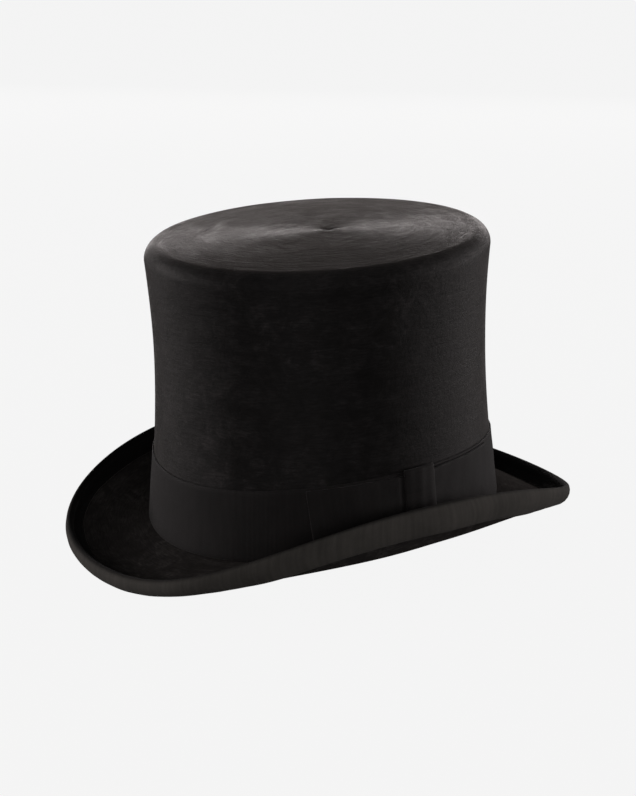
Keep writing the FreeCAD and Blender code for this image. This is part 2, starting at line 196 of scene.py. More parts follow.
# Meshes are grids: rows run round the hat, and each row is one step along a section
def gridMesh(name, rows, closedRound=True, closedAcross=False, poleFirst=None, poleLast=None):
    rows = toScene(rows)
    rowCount, count = rows.shape[:2]
    points = rows.reshape(-1, 3).tolist()
    stepsRound = np.linalg.norm(np.roll(rows, -1, axis=1) - rows, axis=2)
    longest = stepsRound[np.argmax(stepsRound.sum(axis=1))]
    runU = np.concatenate([[0], np.cumsum(longest)])
    stepsUp = np.linalg.norm(np.roll(rows, -1, axis=0) - rows, axis=2).mean(axis=1)
    runV = np.concatenate([[0], np.cumsum(stepsUp)])
    faces, uvs = [], []
    columnCount = count if closedRound else count - 1
    columns = [(i, (i + 1) % count, runU[i], runU[i + 1]) for i in range(columnCount)]
    for low in range(rowCount if closedAcross else rowCount - 1):
        here, above = low * count, (low + 1) % rowCount * count
        for left, right, u0, u1 in columns:
            faces.append((here + left, here + right, above + right, above + left))
            uvs += [(u0, runV[low]), (u1, runV[low]), (u1, runV[low + 1]), (u0, runV[low + 1])]
    for pole, row, turned in ((poleFirst, 0, True), (poleLast, rowCount - 1, False)):
        if pole is None:
            continue
        points.append(toScene(pole).tolist())
        tip = len(points) - 1
        reach = np.linalg.norm(rows[row, 0] - np.array(points[tip])) * (-1 if turned else 1)
        for left, right, u0, u1 in columns:
            corners = [row * count + left, row * count + right, tip]
            spots = [(u0, runV[row]), (u1, runV[row]), ((u0 + u1) / 2, runV[row] + reach)]
            if turned:
                corners, spots = corners[::-1], spots[::-1]
            faces.append(tuple(corners))
            uvs += spots
    piece = meshObject(name, points, faces)
    piece.data.uv_layers.new(name="run").data.foreach_set("uv", np.array(uvs, float).reshape(-1))
    return piece


def addPiece(piece, material, node):
    piece.data.materials.clear()
    piece.data.materials.append(material)
    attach(piece, "root")
    if node:
        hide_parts(node)
    print("piece:", piece.name, len(piece.data.polygons), "faces")


def wander(angle, seed, waves, size):        # a smooth uneven wave that joins up round the hat
    source = random.Random(seed)
    total = np.zeros_like(np.asarray(angle, float))
    for number in waves:
        total = total + source.uniform(0.4, 1.0) * np.sin(number * angle + source.uniform(0, 2 * math.pi))
    return total * size / max(1.0, math.sqrt(len(waves)))


def angleSteps(count):
    return np.arange(count) * 2 * math.pi / count


# Nap coordinates: two that run round the hat and one along a section
def setFlow(piece, angle, paths, poles=()):
    rows = []
    for path in paths:
        across = np.broadcast_to(path, angle.shape)
        rows.append(np.stack([napRadius * np.sin(angle), -napRadius * np.cos(angle), across], axis=-1))
    values = np.concatenate([np.array(rows).reshape(-1, 3)] + [np.array([[0, 0, pole]]) for pole in poles])
    attribute = piece.data.attributes.new("flow", "FLOAT_VECTOR", "POINT")
    attribute.data.foreach_set("vector", (values * mm).reshape(-1))


def thicken(piece, thickness):        # half of it on each side of the mesh
    solid = piece.modifiers.new("thickness", "SOLIDIFY")
    solid.thickness = thickness * mm
    solid.offset = 0.0
    solid.use_even_offset = True


# A soft random relief, as a function of angle and height
def unevenness(seed, count, size, widest, tallest):
    source = random.Random(seed)
    terms = [(source.randint(1, widest), source.uniform(-tallest, tallest), source.uniform(0, 2 * math.pi),
              source.uniform(0.3, 1.0)) for term in range(count)]

    def relief(angle, height):
        total = 0.0
        for turns, climb, start, weight in terms:
            total = total + weight * np.sin(turns * angle + climb * height + start)
        return total * size / math.sqrt(count)
    return relief


# Node helpers for the materials
class Nodes:
    def __init__(self, name):
        self.material = bpy.data.materials.new(name)
        self.material.use_nodes = True
        self.tree = self.material.node_tree
        self.tree.nodes.clear()
        self.output = self.tree.nodes.new("ShaderNodeOutputMaterial")
        self.shader = self.tree.nodes.new("ShaderNodeBsdfPrincipled")
        self.join(self.shader.outputs[0], self.output.inputs["Surface"])

    def add(self, kind, inputs=None, **settings):
        node = self.tree.nodes.new("ShaderNode" + kind)
        for key, value in settings.items():
            setattr(node, key, value)
        for key, value in (inputs or {}).items():
            socket = node.inputs[key]
            if isinstance(value, bpy.types.NodeSocket):
                self.join(value, socket)
            else:
                socket.default_value = value
        return node

    def join(self, source, target):
        self.tree.links.new(source, target)

    def shade(self, **values):        # plain values are set on the shader's own sockets
        for key, value in values.items():
            socket = self.shader.inputs[key.replace("_", " ")]
            if isinstance(value, bpy.types.NodeSocket):
                self.join(value, socket)
            else:
                socket.default_value = value

    def flow(self, scale):        # the piece's own nap coordinates, scaled on each axis
        source = self.add("Attribute", attribute_name="flow")
        return self.scaled(source.outputs["Vector"], scale)

    def place(self, scale):        # the piece's own position
        return self.scaled(self.add("TexCoord").outputs["Object"], scale)

    def run(self, scale):        # metres along and across the cloth
        return self.scaled(self.add("UVMap", uv_map="run").outputs["UV"], scale)

    def scaled(self, socket, scale):
        if not hasattr(scale, "__len__"):
            scale = (scale,) * 3
        return self.add("Mapping", {"Vector": socket, "Scale": scale}).outputs["Vector"]

    def noise(self, vector, scale=1.0, detail=4.0, roughness=0.55, distortion=0.0):
        inputs = {"Vector": vector, "Scale": scale, "Detail": detail, "Roughness": roughness,
                  "Distortion": distortion}
        return self.add("TexNoise", inputs).outputs["Fac"]

    def remap(self, socket, low, high, newLow, newHigh, smooth=False):
        node = self.add("MapRange", {"Value": socket, "From Min": low, "From Max": high, "To Min": newLow,
                                     "To Max": newHigh})
        if smooth:
            node.interpolation_type = "SMOOTHSTEP"
        return node.outputs[0]

    def math(self, operation, first, second=0.0):
        node = self.add("Math", operation=operation)
        for i, value in enumerate((first, second)):
            if isinstance(value, bpy.types.NodeSocket):
                self.join(value, node.inputs[i])
            else:
                node.inputs[i].default_value = value
        return node.outputs[0]

    def part(self, vector, axis):
        return self.add("SeparateXYZ", {"Vector": vector}).outputs[axis]

    def blend(self, factor, first, second, kind="MIX"):
        node = self.add("Mix", data_type="RGBA", blend_type=kind)
        for key, value in (("Factor", factor), ("A", first), ("B", second)):
            socket = [item for item in node.inputs if item.name == key and item.enabled][0]
            if isinstance(value, bpy.types.NodeSocket):
                self.join(value, socket)
            elif key == "Factor":
                socket.default_value = value
            else:
                socket.default_value = (*value, 1.0)
        return [item for item in node.outputs if item.enabled][0]

    def bump(self, height, distance, strength=1.0, under=None):
        inputs = {"Height": height, "Distance": distance * mm, "Strength": strength}
        if under is not None:
            inputs["Normal"] = under
        return self.add("Bump", inputs).outputs["Normal"]

    def tangent(self):
        return self.add("Tangent", direction_type="UV_MAP", uv_map="run").outputs[0]

    def wave(self, socket, pitch):        # even ripples between 0 and 1, one every pitch
        phase = self.math("MULTIPLY", socket, 2 * math.pi / pitch)
        return self.math("ADD", self.math("MULTIPLY", self.math("SINE", phase), 0.5), 0.5)

    def mean(self, first, second):
        return self.math("ADD", self.math("MULTIPLY", first, 0.5), self.math("MULTIPLY", second, 0.5))


# Long-nap plush, brushed and polished round the crown
plushLook = dict(
    deep=(0.0066, 0.0063, 0.0063), lifted=(0.035, 0.0330, 0.0332), dusty=(0.050, 0.046, 0.0465),
    roughness=(0.42, 0.60), streakSize=(45, 45, 420), tuftSize=(190, 190, 1100), mottleSize=95,
    patchSize=(30, 30, 120), grainSize=430, broadSize=17,
    specular=0.16, sheen=0.12, sheenRoughness=0.42, sheenTint=(0.86, 0.78, 0.72),
    nap=0.72, napTurn=0.25, relief=0.26, lumps=0.32, grain=0.16,
)
brimPlushLook = dict(        # unpolished, so duller; its paler colours are painted light, standing in for the reflection that its zero specular leaves out
    plushLook, deep=(0.019, 0.018, 0.0175), lifted=(0.070, 0.066, 0.064), dusty=(0.090, 0.085, 0.082),
    specular=0.0, sheen=0.04, roughness=(0.5, 0.78), lumps=0.4,
)


def plushMaterial(name, look):
    n = Nodes(name)
    streak = n.noise(n.flow(look["streakSize"]), detail=6, roughness=0.62, distortion=0.25)
    tuft = n.noise(n.flow(look["tuftSize"]), detail=4, roughness=0.7, distortion=0.4)
    mottle = n.noise(n.place(look["mottleSize"]), detail=7, roughness=0.68, distortion=0.6)
    patch = n.noise(n.flow(look["patchSize"]), detail=5, roughness=0.6, distortion=0.8)
    broad = n.noise(n.place(look["broadSize"]), detail=3, roughness=0.5)
    pile = n.math("MULTIPLY", n.remap(patch, 0.30, 0.70, 0.25, 1), n.remap(mottle, 0.34, 0.66, 0.15, 1))
    raised = n.blend(pile, look["deep"], look["lifted"])
    ruffled = n.math("MULTIPLY", n.remap(mottle, 0.48, 0.70, 0, 1, True),
                     n.remap(broad, 0.40, 0.62, 0, 0.9, True))
    color = n.blend(ruffled, raised, look["dusty"])
    color = n.blend(n.remap(tuft, 0.36, 0.64, 0.0, 0.8), color, look["deep"])
    rough = n.remap(n.mean(patch, mottle), 0.38, 0.62, *look["roughness"])
    fine = n.noise(n.place(look["grainSize"]), detail=4, roughness=0.6)
    normal = n.bump(streak, look["relief"])
    normal = n.bump(tuft, look["relief"] * 0.5, under=normal)
    normal = n.bump(patch, look["lumps"], under=normal)
    normal = n.bump(fine, look["grain"], under=normal)
    normal = n.bump(mottle, look["relief"] * 1.3, strength=0.8, under=normal)
    n.shade(Base_Color=color, Roughness=rough, Normal=normal, Specular_IOR_Level=look["specular"],
            Sheen_Weight=look["sheen"], Sheen_Roughness=look["sheenRoughness"],
            Sheen_Tint=(*look["sheenTint"], 1.0), Anisotropic=look["nap"],
            Anisotropic_Rotation=look["napTurn"], Tangent=n.tangent())
    return n.material


# Ribbed silk ribbon; the ribs cross the ribbon, so they follow its run
grosgrainLook = dict(
    # the paler colour is both the ribbon's faded wear and a painted highlight on the ribs' crests
    base=(0.0085, 0.0078, 0.0078), fadedAndRibHighlight=(0.0205, 0.0186, 0.0186), ribPitch=0.7, ribDepth=0.06,
    warpPitch=0.32, roughness=(0.5, 0.72), specular=0.14, sheen=0.13, sheenRoughness=0.5,
)
edgeGrosgrainLook = dict(        # paler than the band as painted light on the binding's upturned outer face; the face turned in towards the crown gets a painted shade colour, blended in between two distances given in metres across
    grosgrainLook, base=(0.052, 0.0500, 0.0460), fadedAndRibHighlight=(0.104, 0.0990, 0.0910), ribPitch=0.6,
    ribDepth=0.035, roughness=(0.6, 0.85), specular=0.05, sheen=0.05,
    paintedShadeColour=(0.0050, 0.0046, 0.0045), shadeFadeFrom=0.0125, shadeFadeTo=0.0165,
)


def grosgrainMaterial(name, look):
    n = Nodes(name)
    runUv = n.add("UVMap", uv_map="run").outputs["UV"]
    along = n.part(runUv, "X")
    across = n.part(runUv, "Y")
    rib = n.wave(along, look["ribPitch"] * mm)
    thread = n.noise(n.run((9000, 900, 1)), detail=3, roughness=0.6)
    warp = n.wave(across, look["warpPitch"] * mm)
    wear = n.noise(n.place(38), detail=6, roughness=0.62)
    band = n.noise(n.run((420, 14, 1)), detail=2)
    shade = n.math("ADD", n.remap(wear, 0.35, 0.68, 0, 0.7), n.remap(band, 0.3, 0.7, -0.15, 0.3))
    color = n.blend(shade, look["base"], look["fadedAndRibHighlight"])
    # painted highlight: the ribs' raised crests are also mixed towards the paler colour
    color = n.blend(n.math("MULTIPLY", rib, 0.35), color, look["fadedAndRibHighlight"])
    color = n.blend(n.remap(thread, 0.35, 0.7, 0.0, 0.3), color, look["base"])
    if "paintedShadeColour" in look:        # painted shade: the binding's upper face, turned in towards the crown, is darkened
        worn = n.remap(across, look["shadeFadeFrom"], look["shadeFadeTo"], 0, 1, True)
        color = n.blend(worn, look["paintedShadeColour"], color)
    rough = n.remap(n.mean(thread, wear), 0.35, 0.65, *look["roughness"])
    normal = n.bump(rib, look["ribDepth"])
    normal = n.bump(warp, look["ribDepth"] * 0.25, under=normal)
    normal = n.bump(thread, look["ribDepth"] * 0.5, under=normal)
    normal = n.bump(wear, look["ribDepth"] * 1.6, strength=0.6, under=normal)
    n.shade(Base_Color=color, Roughness=rough, Normal=normal, Specular_IOR_Level=look["specular"],
            Sheen_Weight=look["sheen"], Sheen_Roughness=look["sheenRoughness"])
    return n.material


# Ivory satin, creased and a little stained
satinLook = dict(base=(0.70, 0.64, 0.53), fold=(0.48, 0.42, 0.33), weave=0.00028, specular=0.5, sheen=0.25)


def satinMaterial(name, look):
    n = Nodes(name)
    runUv = n.add("UVMap", uv_map="run").outputs["UV"]
    along, across = n.part(runUv, "X"), n.part(runUv, "Y")
    weave = n.wave(n.math("ADD", along, n.math("MULTIPLY", across, 0.7)), look["weave"])
    slub = n.noise(n.run((900, 60, 1)), detail=4, roughness=0.6)
    stain = n.noise(n.place(22), detail=5, roughness=0.6)
    color = n.blend(n.remap(stain, 0.4, 0.72, 0, 0.55), look["base"], look["fold"])
    color = n.blend(n.remap(slub, 0.5, 0.8, 0, 0.3), color, look["fold"])
    rough = n.remap(slub, 0.3, 0.7, 0.28, 0.42)
    normal = n.bump(slub, 0.05, under=n.bump(weave, 0.02))
    n.shade(Base_Color=color, Roughness=rough, Normal=normal, Specular_IOR_Level=look["specular"],
            Sheen_Weight=look["sheen"], Anisotropic=0.5, Tangent=n.tangent())
    return n.material


# Smooth tan leather with fine pores
leatherLook = dict(
    base=(0.20, 0.095, 0.042), worn=(0.30, 0.165, 0.085), dark=(0.075, 0.034, 0.017), poreSize=1400,
    specular=0.42,
)


def leatherMaterial(name, look):
    n = Nodes(name)
    cells = n.add("TexVoronoi", {"Vector": n.place(look["poreSize"]), "Scale": 1.0},
                  feature="DISTANCE_TO_EDGE")
    grain = cells.outputs["Distance"]
    crease = n.noise(n.place(320), detail=7, roughness=0.7, distortion=1.2)
    tone = n.noise(n.place(30), detail=5, roughness=0.6)
    color = n.blend(n.remap(tone, 0.35, 0.68, 0, 1), look["base"], look["worn"])
    pores = n.remap(grain, 0.0, 0.12, 0.75, 0.0)
    color = n.blend(pores, color, look["dark"])
    rough = n.remap(crease, 0.3, 0.7, 0.38, 0.6)
    first = n.bump(n.remap(grain, 0.0, 0.25, 0, 1), 0.06)
    normal = n.bump(crease, 0.12, strength=0.6, under=first)
    n.shade(Base_Color=color, Roughness=rough, Normal=normal, Specular_IOR_Level=look["specular"])
    return n.material


# Open cloth stiffened with shellac
shellLook = dict(base=(0.36, 0.22, 0.09), thread=(0.62, 0.48, 0.28), pitch=0.0011, specular=0.45)


def stiffClothMaterial(name, look):
    n = Nodes(name)
    spot = n.add("TexCoord").outputs["Object"]
    waves = []
    for axis in "XYZ":
        waves.append(n.math("SINE", n.math("MULTIPLY", n.part(spot, axis), 2 * math.pi / look["pitch"])))
    mesh = n.math("MAXIMUM", n.math("MAXIMUM", waves[0], waves[1]), waves[2])
    lacquer = n.noise(n.place(60), detail=5, roughness=0.6)
    color = n.blend(n.remap(mesh, 0.2, 1.0, 0, 1), look["base"], look["thread"])
    color = n.blend(n.remap(lacquer, 0.4, 0.7, 0, 0.6), color, look["base"])
    normal = n.bump(mesh, 0.15)
    n.shade(Base_Color=color, Roughness=n.remap(lacquer, 0.3, 0.7, 0.3, 0.55), Normal=normal,
            Specular_IOR_Level=look["specular"])
    return n.material


threadLook = dict(dark=(0.35, 0.22, 0.11), light=(0.55, 0.38, 0.2), twistSize=(2600, 2600, 5200))


def threadMaterial(name, look):
    n = Nodes(name)
    twist = n.noise(n.place(look["twistSize"]), detail=2)
    color = n.blend(n.remap(twist, 0.35, 0.65, 0, 1), look["dark"], look["light"])
    n.shade(Base_Color=color, Roughness=n.remap(twist, 0.3, 0.7, 0.45, 0.7), Normal=n.bump(twist, 0.06),
            Specular_IOR_Level=0.3)
    return n.material


crownPlush = plushMaterial("crownPlush", plushLook)
brimPlush = plushMaterial("brimPlush", brimPlushLook)
ribbon = grosgrainMaterial("ribbonGrosgrain", grosgrainLook)
edgeGrosgrain = grosgrainMaterial("edgeGrosgrain", edgeGrosgrainLook)
satin = satinMaterial("ivorySatin", satinLook)
leather = leatherMaterial("tanLeather", leatherLook)
stiffCloth = stiffClothMaterial("stiffenedCloth", shellLook)
tanThread = threadMaterial("tanThread", threadLook)
print("materials made")


# Crown cover: one closed skin, plush outside
crown = dict(
    around=288, outerRows=(66, 12, 30), innerRows=(9, 5, 5), tipCrowding=1.35,        # wall, shoulder, tip
    swirl=(9.5, 0.5), pinchDepth=0.5, pinchSize=3.0, arms=5, armRise=0.10, armReach=7.0,
    uneven=0.13, tipUneven=0.12, dome=3.0,
)


def crownSkin(inset, bottom, rowCounts, relief, tipRelief):
    wallRows, shoulderRows, tipRows = rowCounts
    angle = angleSteps(crown["around"])
    top = hat["height"] - hat["shoulder"]
    radius = hat["shoulder"] - inset
    low = bottom(angle)
    rows, paths = [], []
    for share in np.linspace(0, 1, wallRows):
        height = low + (top - low) * share
        rows.append(crownPoint(angle, height, inset - relief(angle, height)))
        paths.append(height)
    for turn in np.linspace(0, math.pi / 2, shoulderRows)[1:]:
        height = top + radius * turn
        proud = relief(angle, height) * (1 - turn / math.pi)
        inward = crownDraw(top) + inset + radius * (1 - math.cos(turn)) - proud * math.cos(turn)
        rows.append(oval(angle, inward, top + radius * math.sin(turn) + proud * math.sin(turn)))
        paths.append(height)
    edge = oval(angle, crownDraw(top) + inset + radius, hat["height"] - inset)
    middle = np.array([*crown["swirl"], hat["height"] - inset])
    for share in (np.linspace(1, 0, tipRows + 1)[1:-1]) ** crown["tipCrowding"]:
        ring = middle + (edge - middle) * share
        reach = share * hat["halfWidth"]
        path = top + radius * math.pi / 2 + hat["halfWidth"] * (1 - share)
        ring[:, 2] += tipRelief(angle, reach, share)
        rows.append(ring)
        paths.append(path)
    pole = middle + np.array([0, 0, tipRelief(0.0, 0.0, 0.0)])
    return rows, paths, pole


crownWave = unevenness(5, 26, crown["uneven"], 14, 0.13)
tipWave = unevenness(8, 22, crown["tipUneven"], 6, 0.16)


def tipRelief(angle, reach, share):        # soft hollows, and the nap's pinched whorl
    pinch = -crown["pinchDepth"] * math.exp(-(reach / crown["pinchSize"]) ** 2)
    armFade = (reach / 4) * math.exp(-(reach / crown["armReach"]) ** 2)
    arms = crown["armRise"] * np.sin(crown["arms"] * angle + reach * 0.5) * armFade
    dome = crown["dome"] * (1 - share ** 2)
    return tipWave(angle, reach) * min(1.0, 3 * share) * (1 - share ** 6) + pinch + arms + dome


def makeCrownPlush():
    def bottom(angle):
        return brimLine(angle) + coverEnd + layer["gap"]

    def flat(angle, height):
        return 0.0 * angle

    def flatTip(angle, reach, share):
        return 0.0
    outer, paths, pole = crownSkin(0, bottom, crown["outerRows"], crownWave, tipRelief)
    inner, innerPaths, innerPole = crownSkin(layer["cover"], bottom, crown["innerRows"], flat, flatTip)
    piece = gridMesh("crownPlush", inner[::-1] + outer, poleFirst=innerPole, poleLast=pole)
    setFlow(piece, angleSteps(crown["around"]), innerPaths[::-1] + paths, (innerPaths[-1] + 5, paths[-1] + 2))
    addPiece(piece, crownPlush, "crown_cover")


# Brim covers
brimCover = dict(around=320, rows=40, uneven=0.12, fadeSteps=6, napRun=52)


def brimSkin(name, inner, faceOffset, backOffset, material, node, seed):
    angle = angleSteps(brimCover["around"])
    shape = BrimShape(angle)
    wave = unevenness(seed, 20, brimCover["uneven"], 12, 0.16)
    end = bindingEnd + layer["gap"]
    rows, paths = [], []
    outward = 1 if faceOffset > backOffset else -1
    span = shape.length - end - inner
    for share in np.linspace(0, 1, brimCover["rows"]):
        fade = 1.0        # the relief dies away at both edges
        for near in (share, 1 - share):
            fade = fade * math.sin(math.pi * min(1.0, brimCover["fadeSteps"] * near) / 2)
        rows.append(shape.at(inner + span * share, faceOffset + outward * fade * wave(angle, share * 50)))
        paths.append(share * brimCover["napRun"])
    for share in np.linspace(1, 0, brimCover["rows"] // 2):
        rows.append(shape.at(inner + span * share, backOffset))
        paths.append(share * brimCover["napRun"])
    if outward > 0:
        rows, paths = rows[::-1], paths[::-1]
    piece = gridMesh(name, rows, closedAcross=True)
    setFlow(piece, angle, paths)
    addPiece(piece, material, node)


# Ribbon folded round the brim's edge
edgeRibbon = dict(width=12.5, around=640, faceRows=9, noseRows=13, wander=0.22, selvedge=0.22, wave=0.06)


def makeEdgeBinding():
    angle = angleSteps(edgeRibbon["around"])
    shape = BrimShape(angle)
    width = edgeRibbon["width"]
    start = coverEnd + layer["gap"]
    topWander = wander(angle, 3, (5, 9, 13, 22), edgeRibbon["wander"])
    underWander = wander(angle, 4, (4, 8, 15, 21), edgeRibbon["wander"])
    surface = unevenness(17, 18, edgeRibbon["wave"], 40, 0.4)
    rows = []

    def face(offset, backwards, proud):
        shares = np.linspace(0, 1, edgeRibbon["faceRows"])
        for share in (shares[::-1] if backwards else shares):
            uneven = topWander if offset < 0 else underWander
            distance = shape.length - bindingEnd - (width + uneven) * (1 - share)
            lift = proud * surface(angle, share * 12 + (30 if offset > 0 else 0)) * (1 if offset > 0 else -1)
            rows.append(shape.at(distance, offset + lift))

    def selvedge(offset, inner):
        uneven = topWander if offset < 0 else underWander
        distance = shape.length - bindingEnd - width - uneven - edgeRibbon["selvedge"]
        rows.append(shape.at(distance, (offset + inner) / 2 + 0.0 * angle))

    def nose(radius, backwards):
        turns = np.linspace(-math.pi / 2, math.pi / 2, edgeRibbon["noseRows"])[1:-1]
        for turn in (turns[::-1] if backwards else turns):
            reach = shape.length - bindingEnd + radius * math.cos(turn)
            rows.append(shape.at(reach, radius * math.sin(turn) + 0.0 * angle))
    face(-bindingEnd, False, 1)
    nose(bindingEnd, False)
    face(bindingEnd, True, 1)
    selvedge(bindingEnd, start)
    face(start, False, 0)
    nose(start, True)
    face(-start, True, 0)
    selvedge(-bindingEnd, -start)
    piece = gridMesh("edgeBinding", rows, closedAcross=True)
    addPiece(piece, edgeGrosgrain, "brim_binding")


# Ribbon band round the foot of the crown
bandRibbon = dict(width=38.5, foot=0.4, around=600, rows=16, edgeWander=0.18, wave=0.10, bulge=0.12)


def bandLow(angle):
    return brimLine(angle) + coverEnd + layer["gap"] + bandRibbon["foot"]


stripEdgeRows = 3        # rows round each soft edge of a strip


def stripSection(width, thickness, rows):        # out and up points round a strip with soft edges
    half = thickness / 2
    up = half + (width - thickness) * np.linspace(0, 1, rows)
    turns = np.linspace(0, math.pi, stripEdgeRows + 2)[1:-1]
    points = [(thickness, height) for height in up]
    points += [(half + half * math.cos(turn), width - half + half * math.sin(turn)) for turn in turns]
    points += [(0.0, height) for height in up[::-1]]
    points += [(half - half * math.cos(turn), half - half * math.sin(turn)) for turn in turns]
    return points


def makeHatRibbon():
    angle = angleSteps(bandRibbon["around"])
    low = bandLow(angle)
    width = bandRibbon["width"]
    topEdge = wander(angle, 21, (3, 5, 8, 13), bandRibbon["edgeWander"])
    surface = unevenness(23, 26, bandRibbon["wave"], 18, 0.35)
    rows = []
    for out, up in stripSection(width, layer["band"], bandRibbon["rows"]):
        share = up / width
        proud = 0.0
        if out > layer["band"] / 2:
            proud = surface(angle, up) + bandRibbon["bulge"] * math.sin(math.pi * share)
        rows.append(crownPoint(angle, low + up + topEdge * share ** 2, -layer["gap"] - out - proud))
    piece = gridMesh("hatRibbon", rows, closedAcross=True)
    addPiece(piece, ribbon, "hat_band")


# Bow: two flattened loops and the ribbon wrapped round their middle
bow = dict(
    angle=89.0, halfSpan=63.5, trim=0.8, tuck=7.0, ribbon=0.4, layerOut=0.36, loop=0.36, rows=26, steps=40,
    frontSlant=2.4, frontLift=1.9, backSlant=0.5, backLift=0.8, liftLength=15.0,        # the wings' ends
    squeeze=0.05, pleat=0.42, pleatLength=8.0, bunch=0.5, belly=0.35, rootDip=1.0, rootLength=1.1,
)
knot = dict(
    half=10.0, out=3.1, back=0.95, top=1.3, foot=0.8, corner=0.85, pleat=0.16, fall=0.9,
    crease=0.3, creaseWidth=0.55, ribbon=0.5, rows=31, steps=120,
)


def bandSpot(along, out, up):        # along from the bow's middle, out from the band's face, up from its foot
    angle = math.radians(bow["angle"]) + along / hat["halfLength"]
    point = crownPoint(angle, bandLow(angle) + up, bandInset)
    facing = [hat["halfLength"] * np.sin(angle), -hat["halfWidth"] * np.cos(angle), 0 * angle]
    facing = np.stack(facing, axis=-1)
    facing /= np.linalg.norm(facing, axis=-1, keepdims=True)
    return point + facing * np.expand_dims(out, -1)


def smooth(value):
    value = np.clip(value, 0, 1)
    return value * value * (3 - 2 * value)


def bump(value, middle, width):        # a soft rise round the middle
    return np.exp(-((value - middle) / width) ** 2)


foldTurns = np.linspace(-math.pi / 2, math.pi / 2, 9)[None, 1:-1]        # round the fold of a loop


def makeBowWing(name, side, node, seed, slant, lift):
    share = np.linspace(0, 1, bow["rows"])[:, None]                # up the ribbon
    end = bow["halfSpan"] + slant * (2 * share - 1)
    straight = np.linspace(0, 1, bow["steps"])[None, :]
    radius = bow["loop"]
    reach = end - radius - bow["tuck"]
    lower = bow["tuck"] + reach * straight
    inner = (lower, bow["layerOut"] + 0 * lower)
    foldOut = bow["layerOut"] + radius * (1 + np.sin(foldTurns)) + 0 * share
    fold = (end - radius + radius * np.cos(foldTurns), foldOut)
    outer = (lower[:, ::-1], bow["layerOut"] + 2 * radius + 0 * lower)
    distance = np.concatenate([inner[0], fold[0], outer[0]], axis=1)
    out = np.concatenate([inner[1], fold[1], outer[1]], axis=1)
    top = (out - bow["layerOut"]) / (2 * radius)          # 0 on the under layer, 1 on the outer one
    nearKnot = np.exp(-np.clip(distance - knot["half"], -2, None) / bow["pleatLength"])
    source = random.Random(seed)
    start, turnsUp = source.uniform(0, 6), source.uniform(2.6, 3.4)
    pleats = np.cos(2 * math.pi * turnsUp * share + start + 0.03 * distance)
    bellied = bow["belly"] * np.sin(math.pi * np.clip((distance - 12) / 48, 0, 1)) * np.sin(math.pi * share)
    lifted = smooth((distance - bow["halfSpan"] + bow["liftLength"]) / bow["liftLength"])
    lifted = lift * lifted * smooth(1.15 - 1.5 * share)        # the loose end stands off at its foot
    wave = 0.10 * np.sin(0.21 * distance + 4.1 * share + start) + 0.07 * np.sin(0.5 * distance - 7 * share)
    out = out + bow["bunch"] * nearKnot ** 2 * (0.6 + 0.4 * top)
    if side < 0:        # a gap shows between this wing's root and the knot
        out = out - bow["rootDip"] * top * bump(distance, knot["half"] + 0.8, bow["rootLength"])
    out = out + top * (bow["pleat"] * nearKnot * (1 + pleats) / 2 + bellied + wave)
    out = out + lifted * (0.75 + 0.35 * top)
    height = bandRibbon["width"] - 2 * bow["trim"] - 0.5 * (1 - top)
    up = bandRibbon["width"] / 2 + (share - 0.5) * height * (1 - bow["squeeze"] * nearKnot)
    up = up + 0.2 * np.sin(0.06 * distance + start) * (share - 0.3)
    piece = gridMesh(name, bandSpot(side * distance, out, up), closedRound=False)
    thicken(piece, bow["ribbon"])
    addPiece(piece, ribbon, node)


def loopPath(low, high, near, far, corner, count):        # a rounded box path, even steps, anticlockwise
    centres = [(high - corner, far - corner, 0), (high - corner, near + corner, 1),
               (low + corner, near + corner, 2), (low + corner, far - corner, 3)]
    points = []
    for up, out, quarter in centres:
        for turn in np.linspace(0, math.pi / 2, 9):
            bend = quarter * math.pi / 2 + turn
            points.append((up + corner * math.sin(bend), out + corner * math.cos(bend)))
    points.append(points[0])
    points = np.array(points)
    runs = np.concatenate([[0], np.cumsum(np.linalg.norm(np.diff(points, axis=0), axis=1))])
    wanted = np.arange(count) * runs[-1] / count
    return np.interp(wanted, runs, points[:, 0]), np.interp(wanted, runs, points[:, 1])


def makeBowKnot():
    high = bandRibbon["width"] + knot["top"]
    up, out = loopPath(knot["foot"], high, knot["back"], knot["out"], knot["corner"], knot["steps"])
    up, out = up[None, :], out[None, :]
    across = np.linspace(-1, 1, knot["rows"])[:, None]
    front = smooth((out - knot["back"]) / (knot["out"] - knot["back"]))        # 1 on the knot's face
    fall = knot["fall"] * np.abs(across) ** 3
    pleats = knot["pleat"] * np.cos(across * 7.5 + 0.5 * np.sin(up * 0.09)) * (1 - across ** 2)
    crease = knot["crease"] * bump(up, bandRibbon["width"] + 0.6 + 0.3 * across, knot["creaseWidth"])
    waist = 1 - 0.025 * bump(up, high / 2, 9)
    depth = out + front * (pleats - fall - crease) + 0.12 * front * np.sin(up * 0.25 + across * 2)
    spread = across * knot["half"] * waist * (1 - 0.05 * (1 - front))
    piece = gridMesh("bowWrap", bandSpot(spread, depth, up + 0 * across))
    thicken(piece, knot["ribbon"])
    addPiece(piece, ribbon, "bow_knot")


makeCrownPlush()
boardFace = layer["board"] / 2 + layer["gap"]
innerEdge = layer["gap"] - liningInset + layer["liningGap"]        # the under cover runs in beneath the shell
brimSkin("brimUpperPlush", -layer["cover"], -coverEnd, -boardFace, brimPlush, "brim_upper_cover", 31)
brimSkin("brimUnderPlush", innerEdge, coverEnd, boardFace, brimPlush, "brim_under_cover", 37)
makeEdgeBinding()
makeHatRibbon()
makeBowWing("bowFrontLoop", -1, "bow_front_wing", 3, bow["frontSlant"], bow["frontLift"])
makeBowWing("bowBackLoop", 1, "bow_back_wing", 7, bow["backSlant"], bow["backLift"])
makeBowKnot()


